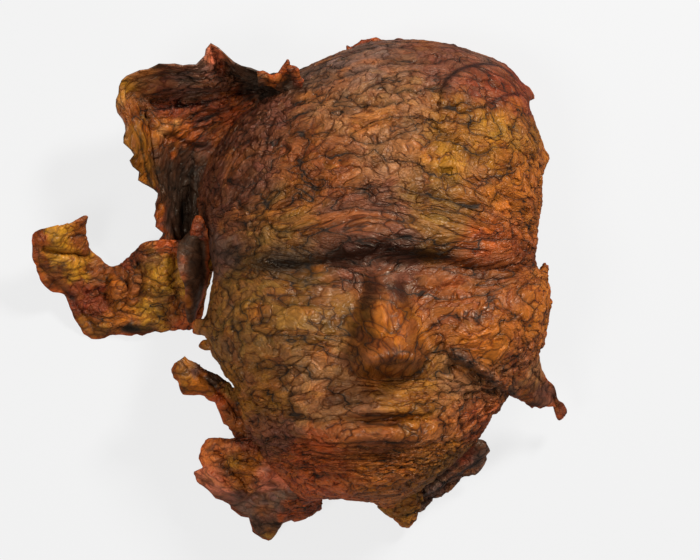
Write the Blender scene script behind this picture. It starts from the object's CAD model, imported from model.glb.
"""A mask of one sheet of dried kelp, shrunk over a head form, lying face up on a pale floor.

Lengths are in millimetres and become metres when a mesh, a lamp or the camera is made. The frame
is the CAD model's: +X to the viewer's right, +Y to the crown of the head, +Z out of the face.
"""

import math

import bmesh
import bpy
import numpy as np
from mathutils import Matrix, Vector
from mathutils.bvhtree import BVHTree


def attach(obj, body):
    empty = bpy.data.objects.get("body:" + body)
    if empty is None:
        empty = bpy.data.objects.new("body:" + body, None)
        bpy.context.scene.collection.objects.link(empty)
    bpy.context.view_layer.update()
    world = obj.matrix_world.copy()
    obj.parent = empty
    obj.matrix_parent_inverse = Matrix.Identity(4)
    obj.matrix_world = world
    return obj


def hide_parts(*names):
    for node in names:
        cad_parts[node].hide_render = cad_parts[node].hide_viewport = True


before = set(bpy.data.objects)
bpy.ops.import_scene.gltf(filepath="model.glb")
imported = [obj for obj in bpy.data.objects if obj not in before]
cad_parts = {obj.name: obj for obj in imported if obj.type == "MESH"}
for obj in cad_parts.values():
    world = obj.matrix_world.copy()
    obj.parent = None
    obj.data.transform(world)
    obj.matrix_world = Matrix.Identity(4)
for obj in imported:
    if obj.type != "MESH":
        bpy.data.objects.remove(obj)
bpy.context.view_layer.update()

MM = 0.001

# Driving sizes, as in the CAD model: the head from crown to chin, its middle line, the general
# height of the face over the floor, the nose's height over the face, where the spokes of the dome
# start, and how fast the teeth of the rim fade out inside it.
HEAD_HEIGHT = 230
HEAD_X = 34
CROWN_Y = 122
FACE_DEPTH = 84
NOSE_HEIGHT = 27
DOME_CENTRE = (34, -12)
TEAR_FADE = 9

# Sizes that the CAD model doesn't have, or has coarser: the sheet's thickness, the width of the
# strip along a torn edge where it thins, and about how far the rim is from the dome's centre. The
# small ins and outs of a torn edge follow: their spacing and depth, how fast they fade out inside
# the rim, and the width of the strip of a flap that they reach over.
SHEET_THICKNESS = 1.3
THIN_STRIP = 3
DOME_REACH = 100
RAGGED_STEPS = ((5.0, 0.7), (2.2, 0.5))
RAGGED_FADE = 30
RAGGED_STRIP = 5

# Mesh sizes: cells along each side of the face's grid, the width of its middle cells as a share of
# an even one, the width of a flap's cells, and the angle from which an edge is drawn sharp.
DOME_CELLS = 222
MIDDLE_CELL = 0.85
FLAP_CELL = 1.1
SEAM_ANGLE = math.radians(75)

# The puckers: the widths of the big and the small cells, how uneven they are, the length of a lobe
# of a torn edge, and how wide the puckers of a fan are, as millimetres to a radian.
BIG_CELL = 4.8
SMALL_CELL = 2.3
RANDOMNESS = 0.85
LOBE = 12
FAN_REACH = 42

# How high each kind of pucker stands, and how far the sheet is let down to make up for it.
PUCKER_HEIGHTS = {
    "fold": 1.3, "puff": 1.1, "small_puff": 0.35, "facet": 0.7, "streak": 0.8, "swell": 2.0,
}
RELIEF_DROP = 1.6

# The colours: how sharply one gives way to the next, the dust on the face and the flaps, how wide
# the red of a torn edge is, and the colour of the lines between the puckers. Then the gloss: its
# strength and tint, and the least and the greatest roughness.
TONE_SHARPNESS = 0.75
FACE_DUST = 0.06
FLAP_DUST = 0.05
RED_STRIP = 7
LINE_COLOUR = (0.010, 0.007, 0.006, 1)
GLOSS = 0.4
GLOSS_TINT = (1.0, 0.82, 0.62, 1)
LEAST_ROUGHNESS = 0.32
GREATEST_ROUGHNESS = 0.5

# The studio: the floor's width and its glow, how bright the sky is to the camera and to the mask,
# and each lamp's place, width and power.
FLOOR_WIDTH = 8000
FLOOR_GLOW = 0.77
SKY_SEEN = 0.9
SKY_LIGHT = 0.12
LAMP_AIM = (20, 0, 40)
LAMPS = {"key": ((560, 700, 820), 220, 13.5), "fill": ((-600, -300, 1050), 400, 5.8)}

CAMERA_YAW = math.radians(5)
CAMERA_DISTANCE = 1167
CAMERA_TARGET = (21, 4, 40)
CAMERA_LENS = 120
SENSOR_WIDTH = 36

BROW_Y = CROWN_Y - 0.417 * HEAD_HEIGHT
EYE_Y = CROWN_Y - 0.5 * HEAD_HEIGHT
NOSE_BASE_Y = CROWN_Y - 0.708 * HEAD_HEIGHT
MOUTH_Y = CROWN_Y - 0.805 * HEAD_HEIGHT
CHIN_Y = CROWN_Y - HEAD_HEIGHT
EYE_X = HEAD_HEIGHT * 0.135
NOSE_HALF_WIDTH = HEAD_HEIGHT * 0.07

# Soft forms of the face: offset from the middle line, y, radii in x and y, height.
MIDDLE_FORMS = [
    (0, BROW_Y + 34, 62, 34, 3),
    (0, BROW_Y, 46, 9, 5),
    (0, EYE_Y + 5, 11, 11, -2),
    (0, NOSE_BASE_Y + 9, 9, 8, 4),
    (0, MOUTH_Y + 2, 30, 24, 6),
    (0, MOUTH_Y + 6, 20, 4.5, 4),
    (0, MOUTH_Y - 7, 17, 5.5, 6),
    (0, MOUTH_Y, 25, 2.2, -4.5),
    (0, MOUTH_Y - 18, 18, 6, -3.5),
    (0, CHIN_Y + 14, 19, 13, 6),
]
PAIRED_FORMS = [
    (EYE_X, EYE_Y, 19, 13, -15),
    (EYE_X, EYE_Y - 1, 13.5, 8, 12),
    (EYE_X, EYE_Y - 6, 12, 1.6, -1.6),
    (12, NOSE_BASE_Y + 6, 5, 6, 6),
    (EYE_X + 13, NOSE_BASE_Y + 22, 22, 19, 7),
]
FACE_FORMS = MIDDLE_FORMS + [
    (side * form[0], *form[1:]) for form in PAIRED_FORMS for side in (-1, 1)
]

# Pleats of the sheet: a line of points, its height, and how far it reaches to its left and right.
# A height below 0 is a valley.
BROW_PLEAT = [(8, EYE_Y + 13), (24, EYE_Y + 10), (46, EYE_Y + 6), (66, EYE_Y + 7), (86, EYE_Y + 13)]
BROW_PLEATS = [
    ([(HEAD_X - x, y) for x, y in BROW_PLEAT[::-1]], 5.0, 7.0, 2.2),
    ([(HEAD_X + x, y) for x, y in BROW_PLEAT], 5.0, 7.0, 2.2),
]
TORN_PLEATS = [
    ([(68, -33), (80, -38), (90, -45), (102, -54)], 6.0, 3.0, 1.8),
    ([(65, 95), (68, 101), (74, 106), (81, 109), (89, 111), (98, 111), (109, 106)], 7.5, 1.6, 8.0),
    ([(112, 97), (98, 94), (86, 88), (68, 82)], 3.5, 7.0, 1.8),
]

# The torn rim, counterclockwise from the viewer's right: x, y, height over the floor.
RIM = [
    (117, 24, 24), (120, 43, 16), (121, 57, 12), (127, 67, 10), (125, 71, 9), (118, 84, 8),
    (112, 95, 7), (120, 99, 6), (114, 106, 5), (105, 115, 3), (91, 121, 2), (71, 127, 1),
    (51, 128, 0), (32, 127, 0), (22, 122, 0), (5, 115, 1), (-10, 108, 2), (-21, 100, 2),
    (-31, 92, 2), (-40, 81, 2), (-46, 71, 3), (-51, 60, 4), (-54, 49, 5), (-54, 39, 6),
    (-52, 29, 8), (-45, 8, 13), (-48, -6, 24), (-51, -16, 33), (-56, -16, 36), (-57, -22, 37),
    (-51, -23, 38), (-48, -32, 38), (-41, -43, 37), (-34, -51, 34), (-31, -75, 27), (-22, -88, 24),
    (-11, -97, 21), (-3, -110, 18), (8, -107, 17), (20, -104, 18), (33, -109, 18), (46, -111, 18),
    (69, -93, 21), (88, -76, 25), (92, -67, 27), (93, -63, 28), (97, -63, 28), (100, -53, 32),
    (112, -39, 40), (118, -26, 46), (120, -15, 49), (121, -3, 49), (120, 4, 46), (119, 13, 45),
    (115, 7, 42), (111, 11, 36), (113, 17, 30),
]

# Torn flaps. Each rib runs from x, y, z at the root to x, y, z at the free edge. belly lifts the
# middle of every rib. forms are swellings as x, y, radius x, radius y, height. pleats are as on the
# face. cell is how much finer than the face the flap is puckered. tones are x, y, reach, colour and
# the strength of the puckers there. lobes is how deep the torn edge's lobes are, and from where to
# where along it. tear is how ragged that edge is, and edge_tint is how red. fan is the point that the
# puckers spread from. spots are x, y, reach and colour. What a flap doesn't state is in PLAIN_FLAP.
PLAIN_FLAP = {
    "forms": [], "pleats": [], "lobes": (0, 0, 0), "tear": 1.3, "edge_tint": 1, "fan": None,
    "spots": [],
}
FLAPS = {
    "upper_left": {
        "ribs": [
            (-9, 98, 34, -14, 106, 40), (-12, 96, 30, -25, 107, 46), (-16, 94, 26, -37, 111, 50),
            (-20, 92, 22, -48, 119, 52), (-25, 89, 19, -56, 110, 54), (-29, 86, 16, -75, 109, 52),
            (-33, 82, 14, -91, 103, 48), (-37, 78, 12, -95, 92, 48), (-40, 74, 11, -92, 82, 50),
            (-43, 69, 10, -89, 71, 50), (-48, 59, 10, -84, 56, 44), (-50, 49, 11, -76, 48, 34),
            (-50, 40, 13, -73, 34, 25), (-48, 29, 17, -73, 23, 20), (-47, 20, 19, -71, 16, 19),
        ],
        "belly": -6,
        "forms": [(-62, 101, 22, 5, 5), (-60, 84, 18, 7, 5), (-60, 48, 9, 28, -14)],
        "pleats": [
            ([(-80, 84), (-79, 74), (-77, 60), (-74, 48), (-69, 34), (-65, 22)], -7, 1.6, 5.0),
            ([(-83, 82), (-82, 71), (-80, 60), (-76, 49), (-72, 36)], 5, 4.0, 2.0),
            ([(-94, 97), (-84, 97), (-76, 94), (-60, 97), (-45, 99), (-22, 100)], -4.5, 1.8, 4.0),
            ([(-80, 83), (-66, 78), (-54, 74), (-46, 74)], 3.5, 4.0, 2.2),
            ([(-23, 99), (-41, 94), (-64, 89), (-79, 87)], 2.5, 1.8, 1.8),
            ([(-23, 98), (-39, 89), (-56, 82), (-70, 80)], 2.5, 1.8, 1.8),
            ([(-67, 74), (-67, 56), (-64, 34)], 1.6, 1.4, 1.4),
            ([(-61, 72), (-61, 52), (-60, 30)], 1.6, 1.4, 1.4),
            ([(-55, 70), (-56, 50), (-56, 30)], 1.6, 1.4, 1.4),
        ],
        "cell": 1.5,
        "lobes": (5.0, 78, 150),
        "tear": 1.9,
        "fan": (-14, 103),
        "edge_tint": 0,
        "tones": [
            (-94, 100, 8, "gold", 0.3), (-84, 104, 8, "tan", 0.3), (-74, 103, 7, "plum", 0.3),
            (-60, 105, 9, "grey_brown", 0.8), (-47, 103, 8, "plum", 1.0),
            (-46, 118, 5, "salmon", 0.4), (-36, 105, 7, "dark", 0.8),
            (-25, 103, 7, "black_brown", 0.7), (-86, 90, 7, "chestnut", 0.6),
            (-74, 80, 6, "amber", 0.5), (-68, 90, 8, "red_brown", 1.1),
            (-52, 88, 8, "red_brown", 1.1), (-38, 92, 8, "russet", 0.9),
            (-60, 78, 6, "russet", 0.8), (-87, 70, 7, "ochre", 0.3), (-82, 57, 6, "ochre", 0.3),
            (-69, 66, 6, "chestnut", 0.4), (-56, 66, 9, "plum", 0.4), (-62, 50, 9, "dark", 0.4),
            (-57, 34, 9, "dark", 0.4), (-45, 80, 6, "chestnut", 0.8), (-76, 40, 5, "russet", 0.6),
            (-73, 25, 5, "russet", 0.5), (-68, 34, 4, "grey_brown", 0.2), (-66, 20, 5, "gold", 0.5),
        ],
        "spots": [
            (-69, 61, 7, "black_brown"), (-58, 58, 8, "black_brown"), (-66, 48, 8, "black_brown"),
            (-58, 44, 8, "black_brown"), (-62, 34, 8, "black_brown"), (-60, 24, 7, "black_brown"),
            (-74, 58, 4, "dark"), (-71, 46, 4, "dark"), (-68, 34, 4, "dark"), (-66, 25, 3, "dark"),
            (-75, 66, 4, "dark"), (-68, 68, 4.5, "dark"), (-60, 68, 5, "dark"),
            (-52, 65, 4, "dark"), (-73, 78, 2.4, "blister"), (-65.5, 82.5, 2.0, "blister"),
            (-82.5, 85, 1.2, "gold"), (-67.5, 67.5, 1.6, "russet"), (-94, 92, 1.8, "blister"),
            (-93, 98, 1.4, "blister"), (-44, 110, 2.0, "russet"),
        ],
    },
    "left": {
        "ribs": [
            (-46, 25, 19, -47, 9, 12), (-54, 24, 21, -50, -2, 11), (-65, 24, 20, -55, -20, 7),
            (-74, 24, 20, -66, -22, 5), (-81, 23, 21, -76, -23, 4), (-87, 18, 16, -86, -24, 3),
            (-93, 12, 11, -98, -24, 1), (-99, 11, 9, -105, -26, 0), (-104, 15, 11, -110, -25, 0),
            (-109, 19, 14, -116, -17, 4), (-110, 23, 18, -122, -4, 10), (-111, 27, 22, -131, 0, 16),
            (-111, 32, 26, -135, 10, 22), (-110, 36, 30, -137, 16, 27),
            (-114, 34, 31, -137, 22, 30), (-117, 31, 31, -135, 28, 31),
            (-120, 32, 31, -127, 30, 31),
        ],
        "belly": 3,
        "forms": [
            (-123, 22, 7, 4, 4), (-118, 11, 8, 5, 4), (-95, 1, 5, 8, 5), (-70, 8, 7, 12, 5),
            (-107, -4, 6, 8, -3), (-104, -20, 9, 3, 2),
        ],
        "pleats": [
            ([(-131, 20), (-126, 19), (-122, 17.5), (-116, 17), (-109, 15)], -4.5, 1.3, 1.3),
            ([(-100, 8), (-100, -3), (-97, -9)], -3, 1.3, 2.2),
            ([(-98, 7), (-92, 6), (-90, 0), (-91, -8)], -3, 1.3, 1.3),
            ([(-86, 18), (-82, 8), (-83, -4), (-86, -13)], -2.5, 1.8, 1.8),
            ([(-135, 22), (-134, 12), (-127, 4), (-119, -4), (-113, -13), (-108, -19)], -3, 1.5, 3.5),
            ([(-104, -21), (-94, -18), (-84, -19), (-74, -18)], 2.5, 2.0, 2.0),
            ([(-66, 20), (-66, 8), (-64, -4), (-62, -14)], -3, 1.6, 3.0),
        ],
        "cell": 1.4,
        "lobes": (0.8, 0, 500),
        "tones": [
            (-125, 24, 6, "gold", 0.25), (-117, 12, 6, "gold", 0.3), (-134, 24, 5, "russet", 0.3),
            (-136, 12, 4, "chestnut", 0.3), (-112, 24, 6, "chestnut", 0.4),
            (-124, 3, 5, "chestnut", 0.3), (-118, -4, 5, "red_brown", 0.4),
            (-103, 8, 6, "chestnut", 0.4), (-106, -7, 7, "red_brown", 1.0),
            (-112, -20, 4, "ochre", 0.2), (-104, -24, 4, "ochre", 0.2), (-95, 0, 5, "amber", 0.5),
            (-96, -14, 6, "amber", 0.7), (-90, -23, 4, "black_brown", 0.2),
            (-82, -22, 4, "black_brown", 0.2), (-86, 16, 6, "red_brown", 0.7),
            (-84, 3, 6, "chestnut", 0.8), (-74, 4, 8, "gold", 0.9), (-78, 14, 5, "olive", 0.8),
            (-68, 24, 6, "russet", 0.6), (-64, 8, 5, "gold", 0.6), (-76, -14, 7, "gold", 0.6),
            (-66, -13, 6, "chestnut", 0.5), (-60, -18, 5, "russet", 0.5),
        ],
    },
    "tongue": {
        "ribs": [
            (-58, 29, 27, -52, 28, 26), (-64, 22, 28, -49, 20, 24), (-65, 15, 29, -49, 13, 22),
            (-64, 8, 29, -49, 6, 20), (-61, 0, 26, -51, -3, 17), (-61, -8, 21, -54, -11, 13),
            (-59, -17, 14, -56, -18, 11),
        ],
        "belly": 2,
        "pleats": [([(-53, 22), (-52, 8), (-54, -8)], -1.5, 2.0, 1.2)],
        "cell": 1.3,
        "tones": [
            (-57, 18, 7, "dark", 0.15), (-54, 4, 6, "dark", 0.15), (-65, 10, 3, "grey_brown", 0.3),
            (-56, -12, 5, "dark", 0.15),
        ],
        "spots": [
            (-64, 6, 2.4, "russet"), (-62, -3, 2.4, "salmon"), (-60, -7, 2.0, "amber"),
            (-62, 14, 1.4, "salmon"),
        ],
    },
    "cheek_strand": {
        "ribs": [
            (-62, -34, 46, -66, -37, 46), (-60, -36, 46, -67, -41, 47),
            (-57, -37, 45, -65, -46, 45), (-54, -39, 43, -62, -52, 43),
            (-49, -42, 42, -53, -53, 40), (-45, -44, 41, -47, -57, 37),
            (-41, -47, 40, -42, -65, 33), (-35, -52, 40, -34, -76, 26),
            (-29, -57, 42, -27, -77, 26),
        ],
        "belly": 4,
        "forms": [(-60, -43, 4, 3, 2)],
        "pleats": [([(-58, -40), (-50, -46), (-42, -54), (-34, -64)], -2, 1.4, 1.8)],
        "cell": 1.2,
        "lobes": (1.0, 0, 500),
        "tones": [
            (-63, -42, 5, "ochre", 0.3), (-56, -38, 4, "grey_brown", 0.4),
            (-48, -43, 4, "dark", 0.5), (-55, -50, 5, "amber", 0.3), (-44, -58, 5, "russet", 0.5),
            (-34, -68, 7, "chestnut", 0.8), (-36, -54, 5, "olive", 0.8),
        ],
    },
    "lower_left_curl": {
        "ribs": [
            (-27, -74, 38, -41, -78, 24), (-24, -77, 38, -49, -76, 25),
            (-21, -80, 38, -54, -83, 24), (-19, -83, 37, -52, -90, 22),
            (-17, -86, 36, -57, -95, 18), (-15, -89, 34, -50, -104, 13),
            (-12, -91, 33, -40, -110, 9), (-9, -94, 31, -30, -117, 5), (-7, -97, 29, -24, -127, 1),
            (-4, -100, 28, -17, -130, 0), (-1, -102, 27, -10, -120, 2), (3, -102, 26, 2, -118, 5),
            (8, -102, 25, 9, -113, 8),
        ],
        "belly": 3,
        "forms": [
            (-48, -84, 6, 6, 3), (-34, -88, 9, 7, 3), (-44, -99, 6, 4, 3), (-18, -99, 8, 5, 3),
            (-22, -112, 7, 4, -2),
        ],
        "pleats": [
            ([(-30, -104), (-26, -100), (-20, -95), (-16, -91)], 6, 5.0, 1.2),
            ([(-32, -109), (-24, -104), (-12, -101)], -5, 1.6, 3.0),
            ([(-52, -91), (-44, -89), (-38, -94), (-33, -100)], 4, 1.4, 4.0),
            ([(-44, -82), (-38, -84), (-30, -81)], -3, 1.2, 2.5),
            ([(-46, -94), (-40, -100), (-34, -104)], 4, 1.2, 4.0),
            ([(-52, -84), (-47, -82), (-42, -84)], -2.5, 1.4, 1.4),
        ],
        "cell": 1.5,
        "lobes": (1.8, 0, 500),
        "tear": 2.2,
        "tones": [
            (-50, -84, 6, "orange", 0.2), (-43, -79, 5, "orange", 0.3), (-36, -88, 7, "amber", 0.7),
            (-46, -98, 7, "salmon", 0.08), (-30, -97, 6, "amber", 0.5),
            (-18, -97, 6, "salmon", 0.08), (-16, -107, 6, "grey_brown", 0.12),
            (-26, -110, 6, "grey_brown", 0.12), (-38, -107, 5, "plum", 0.15),
            (-20, -121, 6, "dark", 0.3), (-14, -127, 4, "gold", 0.4), (-7, -114, 5, "russet", 0.6),
            (3, -111, 5, "red_brown", 0.7), (-32, -79, 4, "red_brown", 0.7),
        ],
        "spots": [
            (-37, -87, 3.5, "gold"), (-33, -94, 3.5, "amber"), (-28, -90, 3.5, "amber"),
            (-48, -95, 5.5, "salmon"), (-42, -99, 5, "salmon"), (-21, -98, 5, "salmon"),
            (-15, -94, 5, "salmon"), (-51, -85, 5, "orange"), (-43, -82, 4, "orange"),
            (-24, -107, 4, "grey_brown"), (-15, -104, 4.5, "grey_brown"), (-20, -114, 4, "plum"),
            (-33, -104, 3, "plum"),
        ],
    },
    "chin_tab": {
        "ribs": [
            (36, -106, 24, 38, -113, 12), (43, -106, 24, 45, -118, 10), (49, -104, 24, 52, -123, 8),
            (56, -102, 23, 57, -120, 8), (59, -100, 23, 60, -112, 9),
        ],
        "belly": 1,
        "pleats": [([(47, -104), (48, -118)], 1.5, 1.2, 1.2)],
        "cell": 1.2,
        "tones": [(49, -114, 8, "ochre", 0.8)],
    },
    "lower_right_curl": {
        "ribs": [
            (82, -75, 34, 91, -78, 26), (80, -78, 33, 93, -83, 23), (76, -84, 32, 93, -89, 17),
            (73, -88, 30, 89, -95, 12), (69, -91, 28, 83, -98, 8), (65, -94, 26, 78, -102, 4),
            (61, -98, 25, 73, -106, 1), (56, -101, 24, 68, -110, 0), (52, -104, 23, 63, -114, 2),
            (48, -105, 22, 58, -117, 4),
        ],
        "belly": -2,
        "forms": [(78, -88, 7, 6, -4)],
        "pleats": [([(90, -82), (87, -88), (80, -92), (71, -98), (62, -105)], 5, 2.6, 4.0)],
        "cell": 1.4,
        "lobes": (1.4, 0, 500),
        "tones": [
            (80, -83, 6, "red_brown", 0.2), (88, -79, 5, "dark", 0.2),
            (91, -87, 5, "grey_brown", 0.5), (84, -94, 6, "grey_brown", 1.0),
            (74, -100, 6, "grey_brown", 1.2), (64, -108, 6, "grey_brown", 1.2),
            (70, -93, 4, "red_brown", 0.3),
        ],
        "spots": [(80, -86, 4, "red_brown"), (76, -90, 3, "dark"), (68, -95, 3, "dark")],
        "edge_tint": 0,
    },
    "right": {
        "ribs": [
            (85, -31, 79, 83, -42, 77), (92, -29, 77, 92, -47, 67), (98, -28, 73, 100, -54, 52),
            (104, -28, 68, 106, -56, 44), (110, -28, 59, 113, -60, 37),
            (114, -33, 50, 118, -61, 32), (117, -40, 41, 123, -61, 28),
            (121, -46, 34, 127, -60, 25), (126, -50, 29, 128, -64, 21),
            (129, -57, 24, 130, -68, 18), (132, -59, 21, 133, -67, 17),
            (135, -64, 16, 134, -66, 16),
        ],
        "belly": 0,
        "forms": [(112, -46, 9, 9, 3)],
        "pleats": [
            ([(84, -40), (93, -46), (100, -52), (108, -56), (120, -59)], 2.5, 2.5, 1.2),
            ([(104, -34), (112, -42), (119, -50), (126, -57)], -1.5, 2.0, 2.0),
        ],
        "cell": 1.2,
        "lobes": (0.6, 0, 500),
        "tones": [
            (92, -34, 8, "chestnut", 0.9), (104, -34, 8, "chestnut", 0.7),
            (112, -42, 7, "tan", 0.4), (88, -42, 5, "grey_brown", 0.7), (98, -51, 6, "dark", 0.5),
            (108, -54, 6, "chestnut", 0.3), (118, -54, 7, "plum", 0.15),
            (127, -58, 5, "plum", 0.15), (121, -46, 3, "russet", 0.3),
            (131, -66, 5, "red_brown", 0.3),
        ],
    },
    "temple_crest": {
        "ribs": [
            (-25, 100, 43, -26, 108, 47), (-21, 101, 42, -23, 108, 47),
            (-18, 101, 40, -19, 105, 45), (-15, 99, 38, -15, 107, 45), (-12, 99, 36, -11, 113, 48),
            (-8, 98, 35, -9, 110, 46), (-5, 98, 35, -6, 109, 45), (-3, 97, 35, -3, 103, 40),
        ],
        "belly": 2,
        "forms": [(-9, 103, 2.5, 3, -3)],
        "cell": 1.5,
        "tones": [
            (-25, 101, 4, "dark", 0.5), (-18, 105, 4, "chestnut", 0.4),
            (-12, 110, 3, "russet", 0.5), (-10, 103, 4, "dark", 0.4),
            (-5, 105, 3, "red_brown", 0.4),
        ],
    },
    "left_brow_tab": {
        "ribs": [
            (-59, 24, 26, -58, 29, 29), (-56, 24, 27, -56, 35, 32), (-52, 24, 28, -53, 36, 33),
            (-49, 24, 27, -50, 29, 31),
        ],
        "belly": 1,
        "cell": 1.5,
        "tones": [(-54, 30, 5, "red_brown", 0.5)],
    },
    "cheek_tab": {
        "ribs": [
            (-48, -16, 38, -56, -16, 35), (-48, -19, 38, -57, -19, 35),
            (-48, -23, 38, -57, -22, 35),
        ],
        "belly": 0.5,
        "cell": 1.3,
        "tones": [(-54, -19, 5, "chestnut", 0.4)],
    },
    "cheek_knob": {
        "ribs": [
            (-47, -25, 38, -52, -26, 36), (-46, -28, 38, -54, -29, 36),
            (-46, -31, 38, -52, -31, 36),
        ],
        "belly": 0.8,
        "cell": 1.3,
        "tones": [(-52, -29, 4, "gold", 0.3)],
    },
    "crown_bits": {
        "ribs": [
            (22, 119, 8, 22, 124, 6), (27, 120, 8, 25, 124, 6), (31, 122, 7, 31, 128, 5),
            (36, 124, 6, 35, 129, 5), (42, 125, 6, 40, 128, 5),
        ],
        "belly": 0.5,
        "cell": 1.5,
        "tones": [(32, 126, 6, "red_brown", 0.6)],
    },
}


def bell(distance, reach):
    return np.exp(-((distance / reach) ** 2))


def smooth(start, end, value):
    """Rises from 0 at start to 1 at end, which may lie either way round."""
    t = np.clip((value - start) / (end - start), 0, 1)
    return t * t * (3 - 2 * t)


def even_curve(points, closed):
    """The smooth curve through the points, as a function of the share of its length."""
    points = np.array(points, float)
    count = len(points)
    spans = count if closed else count - 1
    place = np.linspace(0, spans, spans * 24 + 1)
    start = np.minimum(place.astype(int), spans - 1)
    t = (place - start)[:, None]

    def pick(step):
        index = start + step
        return points[index % count if closed else np.clip(index, 0, count - 1)]

    a, b, c, d = (pick(step) for step in (-1, 0, 1, 2))
    dense = b + 0.5 * t * (c - a + t * (2 * a - 5 * b + 4 * c - d + t * (3 * (b - c) + d - a)))
    steps = np.linalg.norm(np.diff(dense, axis=0), axis=1)
    length = np.concatenate([[0], np.cumsum(steps)])
    shares = length / length[-1]
    return lambda share: np.stack([np.interp(share, shares, column) for column in dense.T], -1)


def softened(edge_at):
    """The rim without its teeth and notches, as the mean over a stretch of it."""
    offsets = np.arange(-4, 5) * 0.01
    return lambda share: sum(edge_at((share + offset) % 1) for offset in offsets) / len(offsets)


def swellings(x, y, forms):
    """The height of all the forms together."""
    lift = np.zeros_like(x)
    for cx, cy, rx, ry, height in forms:
        lift += height * bell(x - cx, rx) * bell(y - cy, ry)
    return lift


def beside(x, y, line):
    """How far each place is from a line of points, and whether it is on the line's left."""
    nearest = np.full(x.shape, np.inf)
    side = np.zeros_like(x)
    for (ax, ay), (bx, by) in zip(line, line[1:]):
        dx, dy = bx - ax, by - ay
        t = np.clip(((x - ax) * dx + (y - ay) * dy) / (dx * dx + dy * dy), 0, 1)
        away = np.hypot(x - ax - t * dx, y - ay - t * dy)
        closer = away < nearest
        nearest = np.where(closer, away, nearest)
        side = np.where(closer, dx * (y - ay) - dy * (x - ax), side)
    return nearest, side > 0


def pleat_lift(x, y, line, height, left_reach, right_reach):
    """A ridge along a line, gentle on one side and steep on the other."""
    away, on_left = beside(x, y, line)
    return height * bell(away, np.where(on_left, left_reach, right_reach))


def crease_shade(x, y, line, height, left_reach, right_reach):
    """Darkens the foot of a ridge's steep side, or the bottom of a valley."""
    away, on_left = beside(x, y, line)
    if height > 0:
        crease = bell(away - 1.5, 1.1) * (on_left == (left_reach < right_reach))
    else:
        crease = 0.55 * bell(away, 1.3)
    for end in (line[0], line[-1]):
        crease *= 1 - bell(np.hypot(x - end[0], y - end[1]), 4)
    return (1 - 0.85 * crease)[:, None]


def nose_height(u, y):
    """A straight nose that widens and rises from between the eyes to its tip."""
    root_y = EYE_Y + 9
    tip_y = NOSE_BASE_Y + 8
    down = np.clip((root_y - y) / (root_y - tip_y), 0, 1)
    ridge = NOSE_HEIGHT * down**1.1 * (1 - smooth(tip_y + 3, NOSE_BASE_Y - 4, y))
    half_width = NOSE_HALF_WIDTH * (0.5 + 0.5 * smooth(0.25, 1, down))
    return ridge * np.exp(-(np.abs(u / half_width) ** 3.2))


def face_height(x, y):
    u = x - HEAD_X
    height = FACE_DEPTH + swellings(u, y, FACE_FORMS) + nose_height(u, y)
    for pleat in BROW_PLEATS + TORN_PLEATS:
        height += pleat_lift(x, y, *pleat)
    return height


def dome_points(cells):
    """The face of the mask, as a square grid fitted into its rim."""
    edge_at = even_curve(RIM, True)
    soft_edge_at = softened(edge_at)
    cx, cy = DOME_CENTRE
    shares = np.linspace(0, 1, 2001)
    soft = soft_edge_at(shares)
    turns = np.unwrap(np.arctan2(soft[:, 1] - cy, soft[:, 0] - cx)) / (2 * math.pi)

    even = np.linspace(-1, 1, cells + 1)
    a, b = np.meshgrid(even, even)

    def packed(one, other):
        cell = MIDDLE_CELL + (1 - MIDDLE_CELL) * other**2
        return one * (cell + (1 - cell) * one**2)

    a, b = packed(a, b), packed(b, a)
    across = a * np.sqrt(1 - b * b / 2)
    up = b * np.sqrt(1 - a * a / 2)
    radius = np.hypot(across, up)
    turn = np.arctan2(up, across) / (2 * math.pi)
    spoke = np.interp(turn + np.ceil(turns[0] - turn), turns, shares)
    soft = soft_edge_at(spoke)
    tear = (edge_at(spoke) - soft) * (radius**TEAR_FADE)[..., None]
    around = np.linalg.norm(np.diff(edge_at(shares), axis=0), axis=1).sum()
    torn = ragged(spoke * around, 1) * radius**RAGGED_FADE
    outwards = np.stack([across, up], -1) / np.maximum(radius, 1e-6)[..., None]
    tear[..., :2] += outwards * torn[..., None]
    share = np.sin(radius * math.pi / 2)
    x = cx + (soft[..., 0] - cx) * share + tear[..., 0]
    y = cy + (soft[..., 1] - cy) * share + tear[..., 1]
    floor = soft[..., 2] + tear[..., 2]
    dx, dy = soft[..., 0] - cx, soft[..., 1] - cy
    upwards = dy / np.hypot(dx, dy)
    # How squarely the sheet turns down to its rim, more so at the crown, the chin and the jaw.
    squareness = 2.5 + 0.9 * np.maximum(0, upwards) ** 2 + 4.2 * np.maximum(0, -upwards) ** 6
    squareness += 1.6 * bell(upwards + 0.2, 0.35)
    rise = np.sqrt(np.maximum(0, 1 - share**squareness))
    points = np.stack([x, y, floor + (face_height(x, y) - floor) * rise], -1)
    return points, (1 - radius) * DOME_REACH


def ragged(along, seed):
    """A torn edge's small ins and outs, for distances along it."""
    random = np.random.default_rng(seed)
    offset = np.zeros_like(along)
    for step, reach in RAGGED_STEPS:
        places = np.arange(-1, along.max() / step + 3) * step
        offset += np.interp(along, places, random.uniform(-reach, reach, len(places)))
    return offset


def lobed(along, depth, start, end):
    """Rounded lobes with sharp notches between them, from start to end along an edge."""
    lobe = np.abs(np.sin(math.pi * (along / LOBE + 0.35 * np.sin(along / 7)))) - 0.5
    return depth * lobe * smooth(start - 3, start + 3, along) * smooth(end + 3, end - 3, along)


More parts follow.
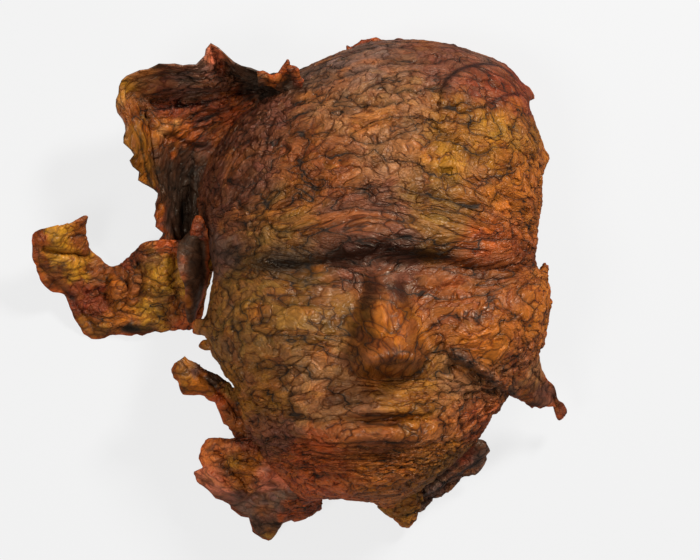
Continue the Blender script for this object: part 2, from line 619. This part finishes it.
def flap_points(flap, seed):
    """A torn flap as a grid over its ribs, and the distance of each point from its free edge."""
    rib_at = even_curve(flap["ribs"], False)
    along = rib_at(np.linspace(0, 1, 200))
    middle = (along[:, :3] + along[:, 3:]) / 2
    length = np.linalg.norm(np.diff(middle, axis=0), axis=1).sum()
    width = np.linalg.norm(along[:, 3:] - along[:, :3], axis=1).max()
    columns = 2 * max(3, round(length / FLAP_CELL / 2))
    rows = 2 * max(2, round(width / FLAP_CELL / 2))
    i, j = np.meshgrid(np.linspace(0, 1, columns + 1), np.linspace(0, 1, rows + 1))
    rib = rib_at(i)
    across = rib[..., 3:] - rib[..., :3]
    reach = np.linalg.norm(across, axis=-1)
    torn = flap["tear"] * ragged(i * length, seed) + lobed(i * length, *flap["lobes"])
    torn *= smooth(1 - RAGGED_STRIP / width, 1, j) / reach
    points = rib[..., :3] + across * (j + torn)[..., None]
    x, y = points[..., 0], points[..., 1]
    swell = swellings(x, y, flap["forms"])
    for pleat in flap["pleats"]:
        swell += pleat_lift(x, y, *pleat)
    points[..., 2] += (flap["belly"] + swell) * np.sin(math.pi * j) ** 0.7
    return points, (1 - j) * reach


def grid_triangles(rows, columns):
    """The triangles of a grid of points, and the points around its edge."""
    index = np.arange((rows + 1) * (columns + 1)).reshape(rows + 1, columns + 1)
    a, b = index[:-1, :-1], index[:-1, 1:]
    c, d = index[1:, 1:], index[1:, :-1]
    faces = np.stack([np.stack([a, b, c], -1), np.stack([a, c, d], -1)], 2)
    edge = np.concatenate([index[0, :-1], index[:-1, -1], index[-1, :0:-1], index[:0:-1, 0]])
    return faces.reshape(-1, 3), edge


def normals_of(points, faces):
    corners = points[faces]
    turned = np.cross(corners[:, 1] - corners[:, 0], corners[:, 2] - corners[:, 0])
    normals = np.zeros_like(points)
    for k in range(3):
        np.add.at(normals, faces[:, k], turned)
    lengths = np.linalg.norm(normals, axis=1, keepdims=True)
    return normals / np.maximum(lengths, 1e-9)


def make_mesh(name, points, faces, attributes):
    mesh = bpy.data.meshes.new(name)
    mesh.from_pydata((points * MM).tolist(), [], faces.tolist())
    for key, values in attributes.items():
        add_attribute(mesh, key, values, "POINT")
    return mesh


def add_attribute(mesh, key, values, domain):
    kinds = {1: ("FLOAT", "value"), 3: ("FLOAT_VECTOR", "vector"), 4: ("FLOAT_COLOR", "color")}
    kind, field = kinds[1 if values.ndim == 1 else values.shape[1]]
    layer = mesh.attributes.new(key, kind, domain)
    layer.data.foreach_set(field, values.astype(np.float32).ravel())


def read_all(items, field, kind, width=1):
    """A field of all the items, as an array with width numbers to an item."""
    values = np.empty(len(items) * width, kind)
    items.foreach_get(field, values)
    return values if width == 1 else values.reshape(-1, width)


def read_attribute(mesh, key, width):
    field = {1: "value", 3: "vector", 4: "color"}[width]
    return read_all(mesh.attributes[key].data, field, np.float32, width)


def add_object(name, data):
    thing = bpy.data.objects.new(name, data)
    bpy.context.scene.collection.objects.link(thing)
    return thing


def evaluated_mesh(thing):
    """A new mesh of the object with its modifiers applied."""
    graph = bpy.context.evaluated_depsgraph_get()
    return bpy.data.meshes.new_from_object(thing.evaluated_get(graph))


def add_node(tree, kind, **settings):
    node = tree.nodes.new(kind)
    for key, value in settings.items():
        setattr(node, key, value)
    return node


def feed(tree, socket, value):
    if isinstance(value, bpy.types.NodeSocket):
        tree.links.new(value, socket)
    else:
        socket.default_value = value


def maths(tree, operation, *values, clamp=False):
    node = add_node(tree, "ShaderNodeMath", operation=operation, use_clamp=clamp)
    for socket, value in zip(node.inputs, values):
        feed(tree, socket, value)
    return node.outputs[0]


def times(tree, *values):
    product = values[0]
    for value in values[1:]:
        product = maths(tree, "MULTIPLY", product, value)
    return product


def vector_maths(tree, operation, *values):
    node = add_node(tree, "ShaderNodeVectorMath", operation=operation)
    for socket, value in zip(node.inputs, values):
        if operation == "SCALE" and value is values[1]:
            socket = node.inputs["Scale"]
        feed(tree, socket, value)
    return node.outputs[0]


def ramp(tree, value, start, end, low=0.0, high=1.0):
    node = add_node(tree, "ShaderNodeMapRange", interpolation_type="SMOOTHSTEP")
    for socket, number in zip(node.inputs, (value, start, end, low, high)):
        feed(tree, socket, number)
    return node.outputs[0]


def noise(tree, vector, scale, detail):
    node = add_node(tree, "ShaderNodeTexNoise")
    feed(tree, node.inputs["Vector"], vector)
    feed(tree, node.inputs["Scale"], scale)
    feed(tree, node.inputs["Detail"], detail)
    return node


def cells(tree, vector, width, feature):
    node = add_node(tree, "ShaderNodeTexVoronoi", feature=feature)
    feed(tree, node.inputs["Vector"], vector)
    feed(tree, node.inputs["Scale"], 1 / width)
    feed(tree, node.inputs["Randomness"], RANDOMNESS)
    return node


def cracks(tree, vector, width):
    """Distance to the nearest edge between cells, as a share of a cell's width."""
    return cells(tree, vector, width, "DISTANCE_TO_EDGE").outputs["Distance"]


def tilted_cells(tree, vector, width):
    """The same cells, each leaning its own way, and a random colour for each."""
    node = cells(tree, vector, width, "F1")
    lean = vector_maths(tree, "SUBTRACT", node.outputs["Color"], (0.5, 0.5, 0.5))
    height = add_node(tree, "ShaderNodeVectorMath", operation="DOT_PRODUCT")
    feed(tree, height.inputs[0], vector_maths(tree, "SUBTRACT", vector, node.outputs["Position"]))
    feed(tree, height.inputs[1], lean)
    return height.outputs["Value"], node.outputs["Color"]


def pillow(tree, distance, reach, depth):
    """A round-topped swelling with steep sides, from the distance to the crack around it."""
    share = maths(tree, "DIVIDE", distance, reach, clamp=True)
    hollow = maths(tree, "POWER", maths(tree, "SUBTRACT", 1.0, share), 2.4)
    return maths(tree, "SUBTRACT", 1.0, maths(tree, "MULTIPLY", hollow, depth))


def wrinkle_nodes(tree, flow):
    """The kelp's puckers, shared by the relief and the material. flow is in millimetres. closed is
    how far the hollows between the big cells close around them."""
    bent = flow
    for scale, reach in ((0.05, 15.0), (0.2, 3.6)):
        bend = noise(tree, flow, scale, 1.0).outputs["Color"]
        bend = vector_maths(tree, "SUBTRACT", bend, (0.5, 0.5, 0.5))
        bent = vector_maths(tree, "ADD", bent, vector_maths(tree, "SCALE", bend, reach))
    crack = cracks(tree, bent, BIG_CELL)
    small_crack = cracks(tree, vector_maths(tree, "ADD", bent, (37.0, 11.0, 5.0)), SMALL_CELL)
    drawn_out = vector_maths(tree, "MULTIPLY", bent, (0.22, 0.75, 0.75))
    ripple = maths(tree, "SUBTRACT", noise(tree, drawn_out, 1.0, 2.0).outputs[0], 0.5)
    long_folds = vector_maths(tree, "MULTIPLY", bent, (0.035, 0.085, 0.085))
    slope = maths(tree, "SUBTRACT", noise(tree, long_folds, 1.0, 1.0).outputs[0], 0.5)
    crease = maths(tree, "ABSOLUTE", slope)
    tilt, random = tilted_cells(tree, bent, BIG_CELL)
    open_edges = noise(tree, vector_maths(tree, "ADD", bent, (5.0, 60.0, 20.0)), 0.17, 1.0).outputs[0]
    closed = ramp(tree, open_edges, 0.38, 0.58, 0.2, 1.0)
    return {
        "closed": closed,
        "random": random,
        "facet": maths(tree, "MULTIPLY", tilt, ramp(tree, crack, 0.0, 0.12)),
        "bent": bent,
        "crack": crack,
        "small_crack": small_crack,
        "crease": crease,
        "fold": pillow(tree, crease, 0.17, 1.0),
        "puff": pillow(tree, crack, 0.40, closed),
        "small_puff": pillow(tree, small_crack, 0.42, 0.8),
        "streak": maths(tree, "SUBTRACT", 1.0, times(tree, maths(tree, "ABSOLUTE", ripple), 3.2)),
        "swell": noise(tree, flow, 0.065, 1.0).outputs[0],
        "worn": ramp(tree, noise(tree, flow, 0.055, 1.0).outputs["Color"], 0.4, 0.6),
    }


def relief_parts(points, flow):
    """Evaluates the puckers at points by a throwaway geometry node tree."""
    mesh = make_mesh("relief_sample", points, np.zeros((0, 3), int), {"flow": flow})
    sample = add_object("relief_sample", mesh)
    tree = bpy.data.node_groups.new("relief_sample", "GeometryNodeTree")
    tree.interface.new_socket("Geometry", in_out="INPUT", socket_type="NodeSocketGeometry")
    tree.interface.new_socket("Geometry", in_out="OUTPUT", socket_type="NodeSocketGeometry")
    geometry = tree.nodes.new("NodeGroupInput").outputs[0]
    reader = add_node(tree, "GeometryNodeInputNamedAttribute", data_type="FLOAT_VECTOR")
    reader.inputs["Name"].default_value = "flow"
    parts = wrinkle_nodes(tree, reader.outputs["Attribute"])
    keys = (*PUCKER_HEIGHTS, "worn")
    for key in keys:
        store = add_node(tree, "GeometryNodeStoreNamedAttribute", data_type="FLOAT", domain="POINT")
        store.inputs["Name"].default_value = key
        tree.links.new(geometry, store.inputs["Geometry"])
        tree.links.new(parts[key], store.inputs["Value"])
        geometry = store.outputs[0]
    tree.links.new(geometry, tree.nodes.new("NodeGroupOutput").inputs[0])
    modifier = sample.modifiers.new("relief", "NODES")
    modifier.node_group = tree
    done = evaluated_mesh(sample)
    found = {key: read_attribute(done, key, 1) for key in keys}
    bpy.data.objects.remove(sample)
    bpy.data.meshes.remove(mesh)
    bpy.data.meshes.remove(done)
    bpy.data.node_groups.remove(tree)
    return found


# The kelp's colours, as sRGB of 255.
KELP_COLOURS = {
    "amber": (184, 98, 16),
    "gold": (208, 142, 34),
    "ochre": (146, 92, 18),
    "olive": (124, 86, 30),
    "tan": (152, 102, 60),
    "chestnut": (144, 72, 24),
    "russet": (174, 70, 18),
    "plum": (106, 60, 45),
    "red_brown": (126, 46, 24),
    "grey_brown": (108, 84, 74),
    "dark": (70, 46, 32),
    "black_brown": (56, 39, 28),
    "salmon": (232, 122, 84),
    "orange": (250, 130, 54),
    "blister": (244, 168, 92),
    "dusty": (164, 118, 88),
}

# Where the face has which colour: x, y, reach, colour, and the strength of the puckers there.
FACE_TONES = [
    (20, 116, 20, "grey_brown", 0.7), (-28, 84, 18, "plum", 1.0), (-38, 52, 20, "plum", 1.0),
    (28, 84, 22, "tan", 1.0), (2, 62, 16, "chestnut", 1.0), (80, 66, 22, "ochre", 1.0),
    (68, 62, 9, "gold", 1.0), (88, 78, 9, "gold", 0.8), (100, 44, 18, "amber", 1.0),
    (66, 40, 16, "olive", 1.0), (90, 22, 16, "russet", 1.0), (92, 102, 16, "red_brown", 0.5),
    (-16, 34, 14, "olive", 1.0), (22, 26, 18, "plum", 1.0), (-14, 12, 10, "dark", 1.0),
    (-16, -14, 24, "olive", 0.6), (-26, -50, 14, "ochre", 1.0), (2, -42, 14, "tan", 0.8),
    (24, -60, 9, "tan", 0.8), (34, -34, 12, "amber", 1.0), (88, 0, 18, "chestnut", 0.7),
    (86, -22, 10, "amber", 0.5), (114, -8, 14, "amber", 0.6), (108, -36, 12, "chestnut", 1.0),
    (44, -54, 14, "ochre", 1.0), (72, -52, 12, "tan", 1.0), (78, -60, 9, "russet", 1.0),
    (60, -72, 10, "amber", 1.0), (30, -74, 16, "chestnut", 1.0), (10, -94, 16, "russet", 1.0),
    (44, -90, 11, "amber", 1.0), (28, -92, 11, "amber", 1.0), (60, -90, 13, "ochre", 1.0),
    (-20, -72, 10, "plum", 1.0), (-8, -88, 9, "russet", 1.0), (-46, 18, 9, "grey_brown", 0.3),
    (72, 118, 16, "plum", 0.5), (92, 117, 9, "grey_brown", 0.5), (-4, 112, 14, "dark", 0.7),
]
# Spots of colour along the rolled edge of the right flap: x, y, reach, colour.
FACE_SPOTS = [
    (69, -32, 1.9, "grey_brown"), (72, -33.5, 1.9, "grey_brown"), (75, -35, 1.9, "grey_brown"),
    (78, -36.5, 1.9, "grey_brown"), (81, -38, 1.9, "plum"), (84, -40, 1.9, "plum"),
    (87, -42.5, 1.9, "grey_brown"), (90, -44.5, 1.9, "grey_brown"), (94, -47.5, 1.9, "plum"),
]


def linear(colour):
    share = np.array(colour, float) / 255
    return np.where(share <= 0.04045, share / 12.92, ((share + 0.055) / 1.055) ** 2.4)


def tone_at(points, tones, dust):
    """The blend of the tones around each point, with the dust as its alpha, and the blend of the
    strengths of their puckers."""
    px, py = points[:, 0], points[:, 1]
    # The borders between the tones sway, in wide waves and then in narrow ones.
    px, py = px + 1.6 * np.sin(0.55 * py + 0.21 * px), py + 1.6 * np.sin(0.5 * px - 0.27 * py)
    px, py = px + 0.9 * np.sin(1.3 * py - 0.6 * px), py + 0.9 * np.sin(1.4 * px + 0.5 * py)
    total = np.full(len(points), 1e-12)
    blend = np.zeros((len(points), 4))
    for x, y, reach, name, pucker in tones:
        away = ((px - x) ** 2 + (py - y) ** 2) / (TONE_SHARPNESS * reach) ** 2
        weight = np.exp(-away) + 1e-12
        total += weight
        blend += weight[:, None] * np.append(linear(KELP_COLOURS[name]), pucker)
    blend /= total[:, None]
    tone = np.concatenate([blend[:, :3], np.full((len(points), 1), dust)], 1)
    return tone, blend[:, 3]


def coloured(points, tones, dust, pleats, spots, shade=1.0):
    """The tone of each point, shaded at the pleats and with the spots over it, and the strength of
    its puckers."""
    tone, pucker = tone_at(points, tones, dust)
    tone[:, :3] *= shade
    for pleat in pleats:
        tone[:, :3] *= crease_shade(points[:, 0], points[:, 1], *pleat)
    for x, y, reach, name in spots:
        share = bell(np.hypot(points[:, 0] - x, points[:, 1] - y), reach)[:, None]
        tone[:, :3] += (linear(KELP_COLOURS[name]) - tone[:, :3]) * share
    return tone, pucker


def tightness(points):
    """How tight the sheet is drawn over the nose, from 0 to 1."""
    u = points[:, 0] - HEAD_X
    y = points[:, 1]
    nose = bell(u, NOSE_HALF_WIDTH + 2) * smooth(NOSE_BASE_Y - 8, NOSE_BASE_Y, y)
    return nose * smooth(EYE_Y + 12, EYE_Y - 4, y)


def face_flow(points):
    """Where the puckers of the face sit: drawn out sideways at the brow and the mouth, long down
    the nose, and finer at the chin."""
    x, y, z = points.T
    u = x - HEAD_X
    squeeze = 0.8 - 0.5 * bell(y - BROW_Y + 4, 16) - 0.35 * bell(y - MOUTH_Y, 14)
    squeeze += 0.15 * tightness(points)
    fine = 1 + 0.5 * smooth(MOUTH_Y - 8, MOUTH_Y - 30, y)
    down = (y - EYE_Y) * (1 - 0.3 * tightness(points)) * fine
    return np.stack([u * squeeze, down, z - 0.9 * nose_height(u, y)], -1)


def face_pucker(points, pucker):
    """The strength of the puckers, less where the sheet is tight or lies over an eye or a lip."""
    u, y = points[:, 0] - HEAD_X, points[:, 1]
    calm = 0.7 * tightness(points)
    for cx, cy, rx, ry in ((EYE_X, EYE_Y, 20, 12), (-EYE_X, EYE_Y, 20, 12), (0, MOUTH_Y, 26, 14)):
        calm = np.maximum(calm, 0.45 * bell(u - cx, rx) * bell(y - cy, ry))
    return pucker * (1 - calm)


def steep_shade(grid):
    """Darkens the steep sides of the features, inside an ellipse around them, and the brow's pleats,
    where the sheet is gathered."""
    faces, _ = grid_triangles(grid.shape[0] - 1, grid.shape[1] - 1)
    points = grid.reshape(-1, 3)
    level = np.abs(normals_of(points, faces)[:, 2])
    x, y = points[:, 0], points[:, 1]
    away = np.hypot((x - HEAD_X) / 62, (y + 10) / 80)
    brow = sum(pleat_lift(x, y, line, 1, 5, 8) for line, *_ in BROW_PLEATS)
    shade = 1 - 0.6 * smooth(0.88, 0.45, level) * smooth(1, 0.75, away)
    shade = shade * (1 - 0.55 * np.minimum(brow, 1))
    return shade[:, None]


def flap_flow(points, number, cell, fan):
    """Where the puckers of a flap sit: a little drawn out along x, or spread out from its fan."""
    x, y, z = points.T
    if fan:
        turn = np.arctan2(fan[1] - y, fan[0] - x)
        x, y = np.hypot(x - fan[0], y - fan[1]) * 0.6, turn * FAN_REACH
    return np.stack([x * 0.8 * cell + 300 * number, y * cell, z * cell], -1)


def lowest_around(grid):
    """The least value among each point of a grid and its neighbours."""
    wide = np.pad(grid, 1, mode="edge")
    rows, columns = grid.shape
    return np.min(
        [wide[i : i + rows, j : j + columns] for i in range(3) for j in range(3)], axis=0
    )


def sheet_solid(grid, free, flow, gain):
    """A closed sheet: a puckered front, a plainer back of half its cells, and a strip between."""
    rows, columns = grid.shape[0] - 1, grid.shape[1] - 1
    middle = grid.reshape(-1, 3)
    faces, edge = grid_triangles(rows, columns)
    normals = normals_of(middle, faces)
    facing_down = normals[:, 2].sum() < 0
    if facing_down:
        normals = -normals
    found = relief_parts(middle, flow)
    level = 0.45 + 0.55 * smooth(0.1, 0.6, np.abs(normals[:, 2]))
    found["streak"] -= 0.7
    found["swell"] -= 0.5
    heights = {key: height * found[key] for key, height in PUCKER_HEIGHTS.items()}
    heights["puff"] *= 0.4 + 0.6 * found["worn"]
    lift = gain * level * (sum(heights.values()) - RELIEF_DROP)
    thickness = SHEET_THICKNESS * (0.5 + 0.5 * smooth(0, THIN_STRIP, free))
    front = middle + normals * (thickness / 2 + lift)[:, None]
    lowest = lowest_around(lift.reshape(rows + 1, columns + 1)).ravel()
    kept = np.arange(len(middle)).reshape(rows + 1, columns + 1)[::2, ::2].ravel()
    back = (middle + normals * (lowest - thickness / 2)[:, None])[kept]
    points = np.concatenate([front, back])
    points[:, 2] = np.maximum(points[:, 2], 0)

    back_faces = grid_triangles(rows // 2, columns // 2)[0][:, ::-1] + len(middle)
    back_of = np.full(len(middle), -1)
    back_of[kept] = np.arange(len(kept)) + len(middle)
    strip = []
    for start in range(0, len(edge), 2):
        a, b, c = (edge[(start + step) % len(edge)] for step in range(3))
        strip += [(a, back_of[a], b), (b, back_of[a], back_of[c]), (b, back_of[c], c)]
    faces = np.concatenate([faces, back_faces, np.array(strip)])
    if facing_down:
        faces = faces[:, ::-1]
    return points, faces, kept


def add_solid(name, number, grid, free, flow, tone, gain, edge_tint=1):
    """Makes one closed sheet, and returns it with what settle_seams reads from it."""
    points, faces, kept = sheet_solid(grid, free.ravel(), flow, gain)
    attributes = {
        "flow": flow,
        "tone": tone,
        "rim": np.clip(1 - free.ravel() / RED_STRIP, 0, 1) * edge_tint,
        "gain": gain,
        "under": np.zeros(len(gain)),
        "solid": np.full(len(gain), number + 1.0),
    }
    attributes = {key: np.concatenate([value, value[kept]]) for key, value in attributes.items()}
    attributes["under"][len(gain) :] = 1
    solid = add_object(name, make_mesh(name, points, faces, attributes))
    surface = BVHTree.FromPolygons((points * MM).tolist(), faces.tolist())
    return solid, (surface, points * MM, faces, attributes)


def drop_bubbles(mesh):
    """Deletes the small closed bubbles left where two sheets cross twice."""
    a, b = read_all(mesh.edges, "vertices", np.int32, 2).T
    shell = np.arange(len(mesh.vertices))
    settled = False
    while not settled:
        joined = shell.copy()
        np.minimum.at(joined, a, shell[b])
        np.minimum.at(joined, b, shell[a])
        joined = joined[joined]
        settled = np.array_equal(joined, shell)
        shell = joined
    largest = np.bincount(shell).argmax()
    shape = bmesh.new()
    shape.from_mesh(mesh)
    bubbles = [vertex for vertex, home in zip(shape.verts, shell) if home != largest]
    bmesh.ops.delete(shape, geom=bubbles, context="VERTS")
    shape.to_mesh(mesh)
    shape.free()


def weights_in(corners, place):
    """How much of each corner of a triangle is in a place on it."""
    a, b, c = corners
    whole = np.cross(b - a, c - a)
    parts = [np.cross(c - b, place - b), np.cross(a - c, place - c), np.cross(b - a, place - a)]
    return np.clip(np.array(parts) @ whole / max(whole @ whole, 1e-30), 0, 1)


def settle_seams(mesh, sources):
    """Moves the attributes to the corners of the faces, so that nothing runs across a seam where
    two solids meet. A point that is new there takes its values from its own face's solid."""
    corner_points = read_all(mesh.loops, "vertex_index", np.int32)
    corner_edges = read_all(mesh.loops, "edge_index", np.int32)
    sizes = read_all(mesh.polygons, "loop_total", np.int32)
    face = np.repeat(np.arange(len(sizes)), sizes)
    middles = read_all(mesh.polygons, "center", np.float32, 3)
    places = read_all(mesh.vertices, "co", np.float32, 3)

    corner_solid = np.round(read_attribute(mesh, "solid", 1)).astype(int)[corner_points]
    solid = np.zeros(len(sizes), int)
    np.maximum.at(solid, face, corner_solid)
    for index in np.flatnonzero(solid == 0):
        gaps = [surface.find_nearest(Vector(middles[index]))[3] for surface, *_ in sources]
        solid[index] = 1 + int(np.argmin(gaps))

    blank = np.flatnonzero(corner_solid == 0)
    found = {}
    for corner in blank:
        key = (corner_points[corner], solid[face[corner]])
        if key not in found:
            surface, points, faces, _ = sources[key[1] - 1]
            place, _, triangle, _ = surface.find_nearest(Vector(places[key[0]]))
            ends = faces[triangle]
            found[key] = ends, weights_in(points[ends], np.array(place))

    for name, width in (("flow", 3), ("tone", 4), ("rim", 1), ("gain", 1), ("under", 1)):
        values = read_attribute(mesh, name, width).reshape(-1, width)[corner_points]
        for corner in blank:
            key = (corner_points[corner], solid[face[corner]])
            ends, weights = found[key]
            values[corner] = weights @ sources[key[1] - 1][3][name][ends].reshape(3, width)
        mesh.attributes.remove(mesh.attributes[name])
        add_attribute(mesh, name, values, "CORNER")

    low = np.full(len(mesh.edges), len(sources) + 1)
    high = np.zeros(len(mesh.edges), int)
    np.minimum.at(low, corner_edges, solid[face])
    np.maximum.at(high, corner_edges, solid[face])
    mesh.set_sharp_from_angle(angle=SEAM_ANGLE)
    layer = mesh.attributes["sharp_edge"]
    sharp = read_all(layer.data, "value", bool)
    layer.data.foreach_set("value", sharp | (low != high))
    mesh.attributes.remove(mesh.attributes["solid"])


def kelp_sheet():
    grid, free = dome_points(DOME_CELLS)
    points = grid.reshape(-1, 3)
    shade = steep_shade(grid)
    tone, pucker = coloured(points, FACE_TONES, FACE_DUST, TORN_PLEATS, FACE_SPOTS, shade)
    pucker = face_pucker(points, pucker)
    body, source = add_solid("kelp_mask_sheet", 0, grid, free, face_flow(points), tone, pucker)
    sources = [source]
    for number, (name, stated) in enumerate(FLAPS.items(), 1):
        flap = PLAIN_FLAP | stated
        grid, free = flap_points(flap, number)
        points = grid.reshape(-1, 3)
        flow = flap_flow(points, number, flap["cell"], flap["fan"])
        tone, pucker = coloured(points, flap["tones"], FLAP_DUST, flap["pleats"], flap["spots"])
        part, source = add_solid(name, number, grid, free, flow, tone, pucker, flap["edge_tint"])
        sources.append(source)
        join = body.modifiers.new(name, "BOOLEAN")
        join.operation = "UNION"
        join.solver = "MANIFOLD"
        join.object = part
    done = evaluated_mesh(body)
    body.modifiers.clear()
    done.materials.clear()
    drop_bubbles(done)
    done.shade_smooth()
    settle_seams(done, sources)
    body.data = done
    for name in FLAPS:
        bpy.data.objects.remove(bpy.data.objects[name])
    return body


def mix(tree, factor, one, other):
    node = add_node(tree, "ShaderNodeMix", data_type="RGBA")
    feed(tree, node.inputs["Factor"], factor)
    for socket, value in ((node.inputs[6], one), (node.inputs[7], other)):
        feed(tree, socket, (*linear(KELP_COLOURS[value]), 1) if isinstance(value, str) else value)
    return node.outputs[2]


def attribute(tree, name, socket):
    return add_node(tree, "ShaderNodeAttribute", attribute_name=name).outputs[socket]


def kelp_lines(tree, parts, gain):
    """The dark lines between the puckers, some of them open, from 0 to 1."""
    broken = ramp(tree, parts["closed"], 0.4, 1.0)
    line = ramp(tree, parts["crack"], 0.01, 0.045, 1.0, 0.0)
    small_line = ramp(tree, parts["small_crack"], 0.012, 0.06, 1.0, 0.0)
    long_line = ramp(tree, parts["crease"], 0.002, 0.01, 1.0, 0.0)
    lines = maths(
        tree, "MAXIMUM",
        times(tree, line, ramp(tree, parts["worn"], 0, 1, 0.15, 0.8), broken),
        times(tree, small_line, ramp(tree, parts["worn"], 0, 1, 0.35, 0.1), broken),
    )
    lines = maths(tree, "MAXIMUM", lines, long_line)
    return times(tree, lines, ramp(tree, gain, 0.0, 0.6, 0.15, 1.0))


def kelp_colour(tree, parts, flow, fleck):
    """The tone with its patches, random cells, dark hollows, dusty tops and red torn edges."""
    random = add_node(tree, "ShaderNodeSeparateColor")
    tree.links.new(parts["random"], random.inputs[0])
    colour = attribute(tree, "tone", "Color")
    brightness = add_node(tree, "ShaderNodeRGBToBW")
    tree.links.new(colour, brightness.inputs[0])
    lit = ramp(tree, brightness.outputs[0], 0.02, 0.09)
    beside_flow = vector_maths(tree, "ADD", flow, (90.0, 0.0, 0.0))
    warm_patch = ramp(tree, noise(tree, flow, 0.06, 2.0).outputs[0], 0.5, 0.72, 0.0, 0.55)
    plum_patch = ramp(tree, noise(tree, beside_flow, 0.07, 2.0).outputs[0], 0.5, 0.72, 0.0, 0.5)
    colour = mix(tree, times(tree, warm_patch, lit), colour, "amber")
    colour = mix(tree, times(tree, plum_patch, lit), colour, "plum")
    colour = mix(tree, times(tree, random.outputs[0], lit, 0.3), colour, "ochre")
    colour = mix(tree, times(tree, random.outputs[1], lit, 0.3), colour, "red_brown")
    top = times(tree, parts["puff"], ramp(tree, parts["fold"], 0, 1, 0.3, 1.0), lit)
    deep = vector_maths(tree, "MULTIPLY", colour, (0.85, 0.55, 0.32))
    colour = mix(tree, ramp(tree, parts["puff"], 0.1, 0.8, 0.6, 0.0), colour, deep)
    colour = mix(tree, times(tree, top, attribute(tree, "tone", "Alpha")), colour, "dusty")
    edge = ramp(tree, attribute(tree, "rim", "Fac"), 0.6, 1.0, 0.0, 0.55)
    colour = mix(tree, edge, colour, "russet")
    colour = mix(tree, times(tree, attribute(tree, "under", "Fac"), 0.7), colour, "grey_brown")
    shade = times(
        tree,
        ramp(tree, parts["fold"], 0, 1, 0.52, 1.12),
        ramp(tree, parts["puff"], 0, 1, 0.76, 1.08),
        ramp(tree, parts["small_puff"], 0, 1, 0.88, 1.04),
        ramp(tree, random.outputs[2], 0, 1, 0.85, 1.15),
        ramp(tree, fleck, 0.25, 0.75, 0.75, 1.25),
    )
    return vector_maths(tree, "SCALE", colour, shade)


def kelp_grain(tree, parts, fleck):
    """The height of the finest relief, in millimetres."""
    shares = ((parts["facet"], 0.5), (parts["puff"], 0.4), (parts["small_puff"], 0.25),
              (parts["streak"], 0.5), (fleck, 0.14))
    height = 0.0
    for value, share in shares:
        height = maths(tree, "ADD", times(tree, value, share), height)
    return height


def kelp_material():
    material = bpy.data.materials.new("dried_kelp")
    material.use_nodes = True
    tree = material.node_tree
    tree.nodes.clear()
    output = tree.nodes.new("ShaderNodeOutputMaterial")
    surface = tree.nodes.new("ShaderNodeBsdfPrincipled")
    surface.inputs["Specular IOR Level"].default_value = GLOSS
    surface.inputs["Specular Tint"].default_value = GLOSS_TINT
    tree.links.new(surface.outputs[0], output.inputs["Surface"])

    flow = attribute(tree, "flow", "Vector")
    gain = attribute(tree, "gain", "Fac")
    parts = wrinkle_nodes(tree, flow)
    fleck = noise(tree, parts["bent"], 0.9, 3.0).outputs[0]
    lines = kelp_lines(tree, parts, gain)
    colour = kelp_colour(tree, parts, flow, fleck)
    colour = mix(tree, times(tree, lines, 0.9), colour, LINE_COLOUR)
    tree.links.new(colour, surface.inputs["Base Color"])

    rough = noise(tree, flow, 0.3, 2.0).outputs[0]
    rough = ramp(tree, rough, 0.3, 0.7, LEAST_ROUGHNESS, GREATEST_ROUGHNESS)
    rough = maths(tree, "ADD", rough, times(tree, lines, 0.25))
    tree.links.new(rough, surface.inputs["Roughness"])

    bump = add_node(tree, "ShaderNodeBump")
    bump.inputs["Distance"].default_value = MM
    tree.links.new(times(tree, kelp_grain(tree, parts, fleck), gain), bump.inputs["Height"])
    tree.links.new(bump.outputs[0], surface.inputs["Normal"])
    return material


def add_lamp(name, place, width, power):
    lamp = bpy.data.lights.new(name, "AREA")
    lamp.energy = power
    lamp.size = width * MM
    thing = add_object(name, lamp)
    thing.location = Vector(place) * MM
    thing.rotation_euler = (Vector(LAMP_AIM) - Vector(place)).to_track_quat("-Z", "Y").to_euler()


def studio():
    half = FLOOR_WIDTH / 2
    corners = np.array([(-half, -half, 0), (half, -half, 0), (half, half, 0), (-half, half, 0)])
    floor = add_object("floor", make_mesh("floor", corners, np.array([(0, 1, 2), (0, 2, 3)]), {}))
    paper = bpy.data.materials.new("pale_floor")
    paper.use_nodes = True
    shader = paper.node_tree.nodes["Principled BSDF"]
    shader.inputs["Base Color"].default_value = (0.12, 0.12, 0.12, 1)
    shader.inputs["Roughness"].default_value = 0.9
    shader.inputs["Specular IOR Level"].default_value = 0.0
    shader.inputs["Emission Color"].default_value = (1, 1, 1, 1)
    shader.inputs["Emission Strength"].default_value = FLOOR_GLOW
    floor.data.materials.append(paper)
    floor.visible_glossy = False

    world = bpy.data.worlds.new("studio")
    world.use_nodes = True
    tree = world.node_tree
    seen = tree.nodes.new("ShaderNodeLightPath").outputs["Is Camera Ray"]
    background = tree.nodes["Background"]
    background.inputs["Color"].default_value = (1, 1, 1, 1)
    feed(tree, background.inputs["Strength"], ramp(tree, seen, 0, 1, SKY_LIGHT, SKY_SEEN))
    bpy.context.scene.world = world
    bpy.context.scene.view_settings.view_transform = "Standard"
    for name, (place, width, power) in LAMPS.items():
        add_lamp(name, place, width, power)


def camera():
    lens = bpy.data.cameras.new("camera")
    lens.lens = CAMERA_LENS
    lens.sensor_width = SENSOR_WIDTH
    thing = add_object("camera", lens)
    tx, ty, tz = CAMERA_TARGET
    place = (
        tx - CAMERA_DISTANCE * math.sin(CAMERA_YAW),
        ty,
        tz + CAMERA_DISTANCE * math.cos(CAMERA_YAW),
    )
    thing.location = [value * MM for value in place]
    thing.rotation_euler = (0, -CAMERA_YAW, 0)
    bpy.context.scene.camera = thing


camera()
studio()
sheet = kelp_sheet()
sheet.data.materials.append(kelp_material())
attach(sheet, "root")
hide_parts("kelp_mask")
